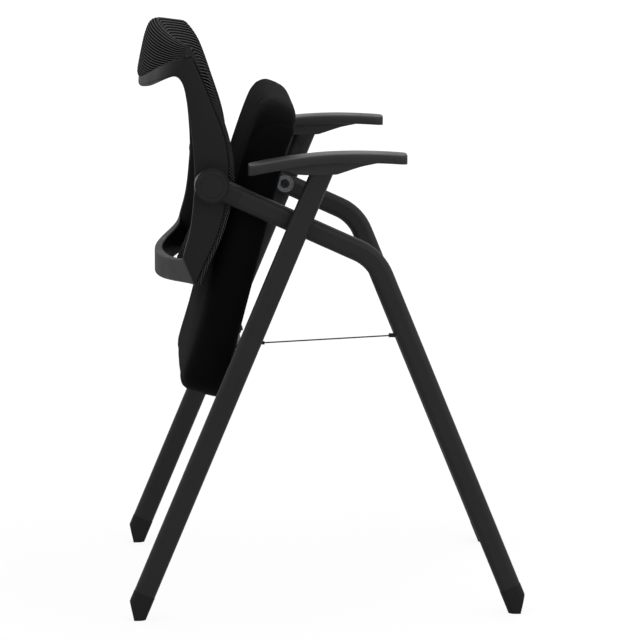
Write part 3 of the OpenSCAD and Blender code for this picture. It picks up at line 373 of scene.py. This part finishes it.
def ringStation(part, s):  # outer edge, inner edge and turn of the ring at one place of its right half
    shape = frameShape
    turn = {"low": math.pi / 2 * (1 - s), "rail": 0, "top": math.pi / 2 * s}[part]
    sine = math.sin(turn)
    y = -shape["out"] * math.cos(turn)
    if part == "low":
        bow = blendOf(sine, sine ** 3, shape["lowBend"])
        outer = (railX("front", 0) - shape["lowBow"] * bow, y,
                 shape["z"] - shape["lowDrop"] * sine ** 3)
        inner = (blendOf(railX("rear", shape["lowInner"]), railX("front", 0) - shape["lowBow"], bow), y,
                 blendOf(shape["z"] + shape["lowInner"] * shape["height"],
                         shape["z"] + shape["lowTop"], sine))
    elif part == "rail":
        t = blendOf(shape["lowInner"], shape["topInner"], s)
        outer = (railX("front", s), y, shape["z"] + s * shape["height"])
        inner = (railX("rear", t), y, shape["z"] + t * shape["height"])
    else:
        outer = (railX("front", 1) - shape["topBow"] * sine - shape["topShift"], y,
                 shape["z"] + shape["height"] - shape["droop"] * sine ** 2)
        inner = (railX("rear", shape["topInner"]) - (shape["topBow"] - shape["topInnerLess"]) * sine, y,
                 blendOf(shape["z"] + shape["topInner"] * shape["height"],
                         shape["z"] + shape["height"] - shape["droop"] - shape["topHeight"],
                         sine ** shape["topFall"]))
    return Vector(outer), Vector(inner), turn


def ringSection(station, side):
    outer, inner, turn = station
    along = (inner - outer).normalized()
    thick = blendOf(frameShape["railThick"], frameShape["crossThick"], math.sin(turn))
    inward = Vector((math.sin(turn), math.cos(turn), 0))
    section = roundedRect((inner - outer).length / 2, thick / 2, frameShape["bevel"], frameShape["bevelSteps"])
    points = []
    for p in section:
        place = (outer + inner) / 2 + along * p.x + inward * (p.y + thick / 2)
        points.append(Vector((place.x, place.y * side, place.z)) * mm)
    return points


lowSteps, railSteps, topSteps = (frameShape[key] for key in ("lowSteps", "railSteps", "topSteps"))
halfRing = [ringStation("low", k / lowSteps) for k in range(lowSteps)]
halfRing += [ringStation("rail", k / railSteps) for k in range(railSteps + 1)]
halfRing += [ringStation("top", k / topSteps) for k in range(1, topSteps + 1)]
corner = lowSteps + railSteps  # where rail and top rail meet, a fillet joins their inner edges
below, beyond = frameShape["fillet"]
start, middle, end = (halfRing[k][1] for k in (corner - below, corner, corner + beyond))
for k in range(1, below + beyond):
    f = k / (below + beyond)
    outer, inner, turn = halfRing[corner - below + k]
    inner = start * (1 - f) ** 2 + middle * 2 * f * (1 - f) + end * f * f
    halfRing[corner - below + k] = (outer, inner, turn)
ringRows = [ringSection(station, 1) for station in halfRing]
ringRows += [ringSection(station, -1) for station in halfRing[-2:0:-1]]
ringRows.append(ringRows[0])
sectionCount = len(ringRows[0])
backFrame = gridPiece("backFrame", sectionCount, len(ringRows) - 1,
                      lambda i, j: ringRows[j][i % sectionCount])
closeShell(backFrame)
smooth(backFrame, frameShape["smoothAngle"])
dress(backFrame, materials["back"], "back_plastic", "back", "back_frame")
print("back frame made")


# Mesh: stretched over the rails, rolled over the crest and down behind to the top rail
meshShape = {"half": 239.1, "outermost": 240.4, "edge": 7, "bow": 30,
             "crestBack": 25.2, "crestLift": 16, "crestRise": 36, "liftPower": 5, "crestPower": 0.8,
             "domePower": 0.7, "crestRound": 0.02,
             "frontShares": [(0, 1), (0.5, 1), (0.66, 0.82), (0.8, 1.02), (0.92, 0.94), (0.97, 0.42),
                             (1, -0.3)],
             "rearBack": [(0, 0), (0.12, 0.28), (0.24, 0.49), (0.4, 0.687), (0.6, 0.845), (0.8, 0.985),
                          (0.93, 1.04), (1, 0.96)],
             "rearDrop": [(0, 0), (0.12, 0.02), (0.24, 0.1), (0.4, 0.287), (0.6, 0.53), (0.8, 0.777),
                          (0.93, 0.93), (1, 1)],
             "proud": 1.2, "cover": 4.2, "coverUpTo": 0.4, "thick": 1.6, "smoothAngle": 60,
             "frontRows": 400, "rearRows": 110, "columns": 52, "normalStep": 0.01,
             "cornerRadius": 2.6, "cornerTurns": (0.52, 1.05, math.pi / 2), "normalAt": 0.97,
             "railGap": 1.3, "deepest": 16, "feelStep": 0.1, "leastDeep": 0.6, "wallSteps": 3,
             "hem": [(0.7, 0.5), (2.4, 0.6)], "gusset": (-2.5, 239.2, 2.2), "gussetFrom": (0.93, 0.05),
             "easePasses": 60, "easeColumns": 5, "easeShare": 0.9,
             "easeFrom": (0.93, 0.04), "easeTo": (1.14, 0.06)}

# Its ribs, in courses counted from the crest
ribShape = {"pitch": (5.0, 4.1), "deep": 0.5, "dive": 2.2, "divePower": 6, "diveCourses": 12, "gather": 0.2,
            "slant": 2.8, "slantCourses": 8, "crestGap": 0.3, "hemFrom": 1.98, "plainFrom": (0.9, 0.06),
            "plainSpread": 1.4}


def frontSpot(u, t):
    shape = meshShape
    lift = t ** shape["liftPower"]
    bow = blendOf(shape["bow"], frameShape["topBow"] - shape["crestBack"], lift)
    inside = (frameShape["out"] - frameShape["railThick"]) / shape["half"]  # the bow starts inside the rails
    share = max(0, 1 - (u / blendOf(inside, 1, lift)) ** 2) ** blendOf(1, shape["crestPower"], t ** 3)
    soft, power = shape["crestRound"], shape["domePower"]
    dome = max(0, 1 - ((u * u + soft) ** power - soft ** power) / ((1 + soft) ** power - soft ** power))
    return Vector((railX("front", t) + shape["edge"] * tableValue(shape["frontShares"], t) - bow * share,
                   u * shape["half"],
                   frameShape["z"] + frameShape["height"] * t + shape["crestLift"] * lift
                   + (shape["crestRise"] - shape["crestLift"]) * lift * dome))


def rearSpot(u, s):
    h = math.sqrt(max(0, 1 - u * u))
    start = frontSpot(u, 1)
    endX = railX("front", 1) - frameShape["topShift"] - (frameShape["topBow"] + meshShape["proud"]) * h
    endZ = frameShape["z"] + frameShape["height"] - frameShape["droop"] * h * h
    covered = min(1, h / meshShape["coverUpTo"])  # it hides the top rail's edge, less at the corners
    endZ -= meshShape["cover"] * math.sin(math.pi / 2 * covered) ** 2
    return Vector((blendOf(start.x, endX, tableValue(meshShape["rearBack"], s)), u * meshShape["half"],
                   blendOf(start.z, endZ, tableValue(meshShape["rearDrop"], s))))


def meshSpot(u, v):
    return frontSpot(u, v) if v <= 1 else rearSpot(u, v - 1)


def meshNormal(u, v):
    step = meshShape["normalStep"]
    across = meshSpot(u + step, v) - meshSpot(u - step, v)
    along = meshSpot(u, min(v + step, 2)) - meshSpot(u, max(v - step, 0))
    return across.cross(along).normalized()


def edgeWrap(side, v, edgeU):  # round the panel's edge and back along the rail; at the top, a gusset
    shape = meshShape
    radius = shape["cornerRadius"]
    outward = Vector((0, side, 0))
    normal = meshNormal(side * edgeU * shape["normalAt"], v)
    normal = (normal - outward * normal.dot(outward)).normalized()
    root = meshSpot(side * edgeU, v) - normal * radius
    points = [root + radius * (normal * math.cos(a) + outward * math.sin(a)) for a in shape["cornerTurns"]]
    rounded = len(points)
    reach = 0
    while reach < shape["deepest"]:  # how far back the rail's front face lies
        spot = root + normal * (radius - reach)
        level = (spot.z - frameShape["z"]) / frameShape["height"]
        if spot.x <= railX("front", min(level, 1)):
            break
        reach += shape["feelStep"]
    deep = max(shape["leastDeep"], reach - shape["railGap"] - radius)
    last = points[-1] - normal * deep
    points += [blendOf(points[-1], last, k / shape["wallSteps"]) for k in range(1, shape["wallSteps"] + 1)]
    points += [last - outward * inward - normal * lower for inward, lower in shape["hem"]]
    gussetX, gussetY, gussetZ = shape["gusset"]
    centre = Vector((railX("front", 1) + gussetX, side * gussetY,
                     frameShape["z"] + frameShape["height"] + gussetZ))
    near = ramp(v, *shape["gussetFrom"])
    near = near * near * (3 - 2 * near)
    for k in range(rounded, len(points)):
        spoke = blendOf(points[rounded - 1], centre, (k - rounded + 1) / (len(points) - rounded))
        points[k] = blendOf(points[k], spoke, near)
    return points


meshRows = ([k / meshShape["frontRows"] for k in range(meshShape["frontRows"] + 1)]
            + [1 + k / meshShape["rearRows"] for k in range(1, meshShape["rearRows"] + 1)])
edgeShare = (meshShape["outermost"] - meshShape["cornerRadius"]) / meshShape["half"]
meshPoints = []
for v in meshRows:
    middle = [meshSpot(edgeShare * math.sin(math.pi / 2 * (2 * k / meshShape["columns"] - 1)), v)
              for k in range(meshShape["columns"] + 1)]
    meshPoints.append(edgeWrap(-1, v, edgeShare)[::-1] + middle + edgeWrap(1, v, edgeShare))
crestRow = meshShape["frontRows"]
columnCount = len(meshPoints[0])
wrapCount = (columnCount - meshShape["columns"] - 1) // 2
easeEnd, easeFade = meshShape["easeTo"]
for _ in range(meshShape["easePasses"]):  # the crest's two corners are eased round
    for k in range(wrapCount + meshShape["easeColumns"]):
        share = 1 if k <= wrapCount else 1 - (k - wrapCount) / meshShape["easeColumns"]
        for i in (k, columnCount - 1 - k):
            old = [meshPoints[j][i] for j in range(len(meshRows))]
            for j in range(1, len(meshRows) - 1):
                v = meshRows[j]
                ease = share * ramp(v, *meshShape["easeFrom"]) * ramp(easeEnd - v, 0, easeFade)
                if ease:
                    middle = (old[j - 1] + old[j + 1]) / 2
                    meshPoints[j][i] = old[j].lerp(middle, ease * meshShape["easeShare"])
ribPhase = [[0.0] * columnCount for _ in meshRows]
bothWays = (range(crestRow - 1, -1, -1), range(crestRow + 1, len(meshRows)))
for i in range(wrapCount, columnCount - wrapCount):
    for rows, pitch in zip(bothWays, ribShape["pitch"]):
        for j in rows:
            back = j + 1 if j < crestRow else j - 1
            ribPhase[j][i] = ribPhase[back][i] + (meshPoints[j][i] - meshPoints[back][i]).length / pitch
    across = abs(2 * (i - wrapCount) / meshShape["columns"] - 1)
    dive = ribShape["dive"] * math.sin(math.pi / 2 * across) ** ribShape["divePower"]
    for j in range(crestRow):  # the ribs dive towards the edges in front
        ribPhase[j][i] -= dive * min(1, ribPhase[j][i] / ribShape["diveCourses"])
middleColumn = columnCount // 2
for j in range(crestRow + 1, len(meshRows)):  # behind, they draw together towards the corners
    for i in range(wrapCount, columnCount - wrapCount):
        if i != middleColumn:
            ribPhase[j][i] = blendOf(ribPhase[j][i], ribPhase[j][middleColumn], ribShape["gather"])
for j in range(len(meshRows)):  # and run on at a slant round the edge
    for k in range(1, wrapCount + 1):
        slant = (ribShape["slant"] * k / wrapCount * (1 if j < crestRow else -1)
                 * min(1, ribPhase[j][wrapCount] / ribShape["slantCourses"]))
        ribPhase[j][wrapCount - k] = ribPhase[j][wrapCount] + slant
        ribPhase[j][columnCount - 1 - wrapCount + k] = ribPhase[j][columnCount - 1 - wrapCount] + slant
backMesh = gridPiece("backMesh", columnCount - 1, len(meshRows) - 1, lambda i, j: meshPoints[j][i] * mm)
courses, plains = [], []
for vertex in backMesh.data.vertices:
    j, i = divmod(vertex.index, columnCount)
    deepIn = max(0, wrapCount - i, i - (columnCount - 1 - wrapCount)) / wrapCount
    inHem = meshRows[j] >= ribShape["hemFrom"]
    courses.append(0.5 if inHem else ribPhase[j][i] - ribShape["crestGap"])  # the hem gets the grooves' painted shade, a dark line along the seam
    plains.append(ramp(meshRows[j], *ribShape["plainFrom"])
                  * min(1, deepIn * ribShape["plainSpread"]))  # the gusset is nearly plain
backMesh.data.update()
vertexNormals = [vertex.normal.copy() for vertex in backMesh.data.vertices]
for vertex, normal, course, plain in zip(backMesh.data.vertices, vertexNormals, courses, plains):
    groove = blendOf(0.5 - 0.5 * math.cos(2 * math.pi * course), 0.5, plain)
    vertex.co -= normal * groove * ribShape["deep"] * mm
for layerName, values in (("course", courses), ("plain", plains)):
    layer = backMesh.data.attributes.new(layerName, "FLOAT", "POINT")
    for k, value in enumerate(values):
        layer.data[k].value = value
applyModifier(backMesh, "SOLIDIFY", thickness=meshShape["thick"] * mm, offset=-1)
smooth(backMesh, meshShape["smoothAngle"])
dress(backMesh, materials["mesh"], "mesh_fabric", "back", "back_mesh")


# Arm pads: moulded, crowned along their length, rounded at both ends
armShape = {"x0": -112.867, "y": 272.5, "length": 222, "width": 50, "thick": 14.5, "top": 666, "drop": 17,
            "corner": 0.2, "edge": 3.6, "edgeSteps": 5, "smoothAngle": 50,
            "topShares": [(0, -1), (0.13, -0.68), (0.26, -0.4), (0.46, -0.1), (0.66, 0), (0.84, -0.05),
                          (1, -0.18)],
            "thickShares": [(0, 1), (0.3, 0.95), (0.6, 0.93), (1, 0.9)],
            "rearPlaces": [0, 0.003, 0.008, 0.016, 0.028, 0.045], "middle": (0.07, 0.86), "middleSteps": 34,
            "frontPlaces": [0.955, 0.972, 0.984, 0.992, 0.997, 1]}


def armSection(t, side):
    shape = armShape
    thick = shape["thick"] * tableValue(shape["thickShares"], t)
    top = shape["top"] + shape["drop"] * tableValue(shape["topShares"], t)
    r = shape["width"] * shape["corner"]
    d = min(t, 1 - t) * shape["length"]
    half = shape["width"] / 2 - (r - math.sqrt(r * r - (r - d) ** 2) if d < r else 0)
    return [Vector((shape["x0"] + t * shape["length"], side * shape["y"] + p.y, top - thick / 2 + p.x)) * mm
            for p in roundedRect(thick / 2, half, shape["edge"], shape["edgeSteps"])]


middleStart, middleLength = armShape["middle"]
middleSteps = armShape["middleSteps"]
armPlaces = [middleStart + middleLength * k / middleSteps for k in range(middleSteps + 1)]
armPlaces = armShape["rearPlaces"] + armPlaces + armShape["frontPlaces"]
for sideName, side in (("right", -1), ("left", 1)):
    rows = [armSection(t, side) for t in armPlaces]
    armPad = gridPiece("armPad" + sideName.title(), len(rows[0]), len(rows) - 1,
                       lambda i, j: rows[j][i % len(rows[0])])
    closeShell(armPad, caps=True)
    smooth(armPad, armShape["smoothAngle"])
    dress(armPad, materials["arm"], "arm_plastic", "frame", "arm_pad_" + sideName)
print("arm pads made")


# Seat cushion: crowned form, remeshed and blown up a little as cloth, then its seams are drawn in

def seatPoint(along, across, high):
    lean = math.radians(seatShape["lean"])
    x, z = -seatShape["drop"] - high, seatShape["length"] / 2 - seatShape["tail"] + along
    return Vector((seatShape["pivot"][0] + x * math.cos(lean) + z * math.sin(lean), across,
                   seatShape["pivot"][1] - x * math.sin(lean) + z * math.cos(lean))) * mm


def cushionRing(inset, noseInset, high, share):
    shape = seatShape
    ring = []
    for k in range(shape["ringPoints"]):
        turn = 2 * math.pi * k / shape["ringPoints"]
        c, s = math.cos(turn), math.sin(turn)
        a = shape["length"] / 2 + (shape["noseMore"] - noseInset if c > 0 else -inset)
        b = shape["width"] / 2 - inset
        along = share * a * math.copysign(abs(c) ** (2 / shape["power"]), c)
        across = share * b * math.copysign(abs(s) ** (2 / shape["power"]), s)
        full = tableValue(shape["full"], max(-1, min(1, along / (shape["length"] / 2))))
        f = ramp(along, shape["sagFrom"][0], shape["sagFrom"][1] - shape["sagFrom"][0])
        sag = shape["noseSag"] * f * f * (3 - 2 * f) * max(0, 1 - high / shape["thick"])
        ring.append(seatPoint(along, across, high * full - sag))
    return ring


def cushionPlace(point):  # along, across and high of a point: seatPoint the other way round
    lean = math.radians(seatShape["lean"])
    x, z = point.x / mm - seatShape["pivot"][0], point.z / mm - seatShape["pivot"][1]
    along = x * math.sin(lean) + z * math.cos(lean) - seatShape["length"] / 2 + seatShape["tail"]
    high = -seatShape["drop"] - x * math.cos(lean) + z * math.sin(lean)
    return along, point.y / mm, high


def distanceTo(line, a, b):
    best = math.inf
    for (a0, b0), (a1, b1) in zip(line, line[1:]):
        f = ((a - a0) * (a1 - a0) + (b - b0) * (b1 - b0)) / ((a1 - a0) ** 2 + (b1 - b0) ** 2)
        f = min(1, max(0, f))
        best = min(best, math.hypot(a - blendOf(a0, a1, f), b - blendOf(b0, b1, f)))
    return best


def sewCushion(piece):  # the side panels' seam, and the creases that fan over the nose's lower corners
    shape = seatShape
    piece.data.update()
    normals = [vertex.normal.copy() for vertex in piece.data.vertices]
    tilt, tiltFrom, fan, fanFrom = shape["creaseFan"]
    for vertex, normal in zip(piece.data.vertices, normals):
        along, across, high = cushionPlace(vertex.co)
        out = abs(across)
        deep = 0
        if out > shape["width"] * shape["seamSide"] and along > shape["seamFrom"]:
            gap = distanceTo(shape["seam"], along, high)
            deep += (shape["seamDeep"] * math.exp(-(gap / shape["seamWide"]) ** 2)
                     * min(1, (along - shape["seamFrom"]) / shape["seamFade"]))
        if along > shape["creaseFrom"][0] and out > shape["creaseFrom"][1]:
            window = 1
            for value, (centre, reach) in ((along, shape["creaseAlong"]), (high, shape["creaseHigh"]),
                                           (out, shape["creaseAcross"])):
                window *= math.exp(-((value - centre) / reach) ** 2)
            phase = (high + tilt * (along - tiltFrom) + fan * (out - fanFrom)) / shape["creasePitch"]
            deep += shape["creaseDeep"] * window * (0.5 + 0.5 * math.cos(2 * math.pi * phase))
        vertex.co -= normal * deep * mm


def cushionForm():
    shape = seatShape
    edge, shrink, thick, lift = (shape[key] for key in ("edge", "shrink", "thick", "lift"))
    first, nose = shape["insets"][0][0] * edge + shrink, shape["noseInsets"][0] * edge
    rings = [cushionRing(first, nose, lift, k / shape["baseRings"]) for k in range(1, shape["baseRings"])]
    rings += [cushionRing(inset * edge + shrink, noseInset * edge, max(lift, high * thick - shrink), 1)
              for (inset, high), noseInset in zip(shape["insets"], shape["noseInsets"])]
    last, lastNose = shape["insets"][-1][0] * edge + shrink, shape["noseInsets"][-1] * edge
    for k in range(1, shape["crownRings"]):
        f = 1 - k / shape["crownRings"]
        rings.append(cushionRing(last, lastNose, thick - shrink + shape["crown"] * (1 - f * f), f))
    built = bmesh.new()
    rows = [[built.verts.new(point) for point in ring] for ring in rings]
    count = shape["ringPoints"]
    for low, high in zip(rows, rows[1:]):
        for k in range(count):
            built.faces.new((low[k], low[(k + 1) % count], high[(k + 1) % count], high[k]))
    built.faces.new(rows[0][::-1])
    built.faces.new(rows[-1])
    bmesh.ops.recalc_face_normals(built, faces=built.faces)
    data = bpy.data.meshes.new("seatCushion")
    built.to_mesh(data)
    built.free()
    piece = bpy.data.objects.new("seatCushion", data)
    bpy.context.scene.collection.objects.link(piece)
    return piece


seatCushion = cushionForm()
applyModifier(seatCushion, "REMESH", mode="VOXEL", voxel_size=seatShape["voxel"] * mm, use_smooth_shade=True)
startPlaces = [vertex.co.copy() for vertex in seatCushion.data.vertices]
pick(seatCushion)
cloth = seatCushion.modifiers.new("Cloth", "CLOTH")
cloth.settings.use_pressure = True
cloth.settings.uniform_pressure_force = seatShape["pressure"]
cloth.settings.effector_weights.gravity = 0
cloth.settings.quality = seatShape["clothQuality"]
for frameNumber in range(1, seatShape["clothFrames"] + 1):
    bpy.context.scene.frame_set(frameNumber)
bpy.ops.object.modifier_apply(modifier=cloth.name)
bpy.context.scene.frame_set(1)
for vertex, start in zip(seatCushion.data.vertices, startPlaces):
    move = vertex.co - start
    high = ramp(cushionPlace(start)[2], 0, seatShape["flatUpTo"])  # it lies flat on its board
    most = blendOf(seatShape["flatPuff"], seatShape["puff"], high) * mm
    if move.length > most:
        vertex.co = start + move.normalized() * most
print("cushion blown up")
applyModifier(seatCushion, "SUBSURF", levels=1, render_levels=1)
sewCushion(seatCushion)
smooth(seatCushion, 180)
dress(seatCushion, materials["seat"], "seat_fabric", "seat", "seat_cushion")
print("cushion made, faces", len(seatCushion.data.polygons))


# Floor, background and lights
stageSet = {"floor": 30, "floorCuts": 4, "floorTone": "#efefef", "floorRough": 0.9, "worldLight": 0.42,
            "backdrop": 1.0, "glow": 1.08, "glowShares": (0.8, 1.0), "glowReach": (1.0, 3.2),
            "aim": (-0.02, 0, 0.42),
            "lamps": [("keyLamp", (-2.6, -1.6, 2.4), 3.0, 18), ("topLamp", (0.2, 0.3, 3.4), 2.8, 36),
                      ("fillLamp", (1.6, -3.2, 1.4), 2.0, 20), ("frontLamp", (2.8, -1.2, 2.0), 2.6, 14)]}
deselectAll()
bpy.ops.mesh.primitive_plane_add(size=stageSet["floor"], location=(0, 0, 0))
floor = bpy.context.object
floor.name = "studioFloor"
pick(floor)
bpy.ops.object.mode_set(mode="EDIT")
bpy.ops.mesh.subdivide(number_cuts=stageSet["floorCuts"])
bpy.ops.object.mode_set(mode="OBJECT")
floorMaterial, tree, shader = newMaterial("paintedStudioFloor")
shader.inputs["Base Color"].default_value = linearColor(stageSet["floorTone"])
shader.inputs["Roughness"].default_value = stageSet["floorRough"]
seen = addNode(tree, "ShaderNodeLightPath").outputs["Is Camera Ray"]
glow = addNode(tree, "ShaderNodeEmission", {"Color": (1, 1, 1, 1), "Strength": stageSet["glow"]})
floorPlace = addNode(tree, "ShaderNodeTexCoord").outputs["Object"]
away = addNode(tree, "ShaderNodeVectorMath", {"operation": "LENGTH"}, {0: floorPlace})
whiter = addNode(tree, "ShaderNodeMapRange", {
    "From Min": stageSet["glowReach"][0], "From Max": stageSet["glowReach"][1],
    "To Min": stageSet["glowShares"][0], "To Max": stageSet["glowShares"][1]},
    {"Value": away.outputs["Value"]})
share = addNode(tree, "ShaderNodeMath", {"operation": "MULTIPLY"}, {0: seen, 1: whiter.outputs["Result"]})
mixed = addNode(tree, "ShaderNodeMixShader", {}, {0: share.outputs["Value"], 1: shader.outputs["BSDF"],
                                                  2: glow.outputs["Emission"]})
tree.links.new(mixed.outputs["Shader"], tree.nodes["Material Output"].inputs["Surface"])
floor.data.materials.append(floorMaterial)

world = bpy.data.worlds.new("studioWorld")
bpy.context.scene.world = world
world.use_nodes = True
tree = world.node_tree
path = addNode(tree, "ShaderNodeLightPath")
clear = addNode(tree, "ShaderNodeMath", {"operation": "MAXIMUM"},
                {0: path.outputs["Is Camera Ray"], 1: path.outputs["Is Transmission Ray"]})
shown = addNode(tree, "ShaderNodeMath", {"operation": "MAXIMUM"},
                {0: clear.outputs["Value"], 1: path.outputs["Is Glossy Ray"]})
strength = addNode(tree, "ShaderNodeMapRange", {
    "To Min": stageSet["worldLight"], "To Max": stageSet["backdrop"]}, {"Value": shown.outputs["Value"]})
background = tree.nodes["Background"]
background.inputs["Color"].default_value = (1, 1, 1, 1)
tree.links.new(strength.outputs["Result"], background.inputs["Strength"])
for lampName, place, size, power in stageSet["lamps"]:
    lampData = bpy.data.lights.new(lampName, "AREA")
    lampData.shape = "SQUARE"
    lampData.size = size
    lampData.energy = power
    lamp = bpy.data.objects.new(lampName, lampData)
    bpy.context.scene.collection.objects.link(lamp)
    lamp.location = place
    lamp.rotation_mode = "QUATERNION"
    lamp.rotation_quaternion = (Vector(stageSet["aim"]) - Vector(place)).to_track_quat("-Z", "Y")
bpy.context.scene.view_settings.view_transform = "Standard"
print("stage set")
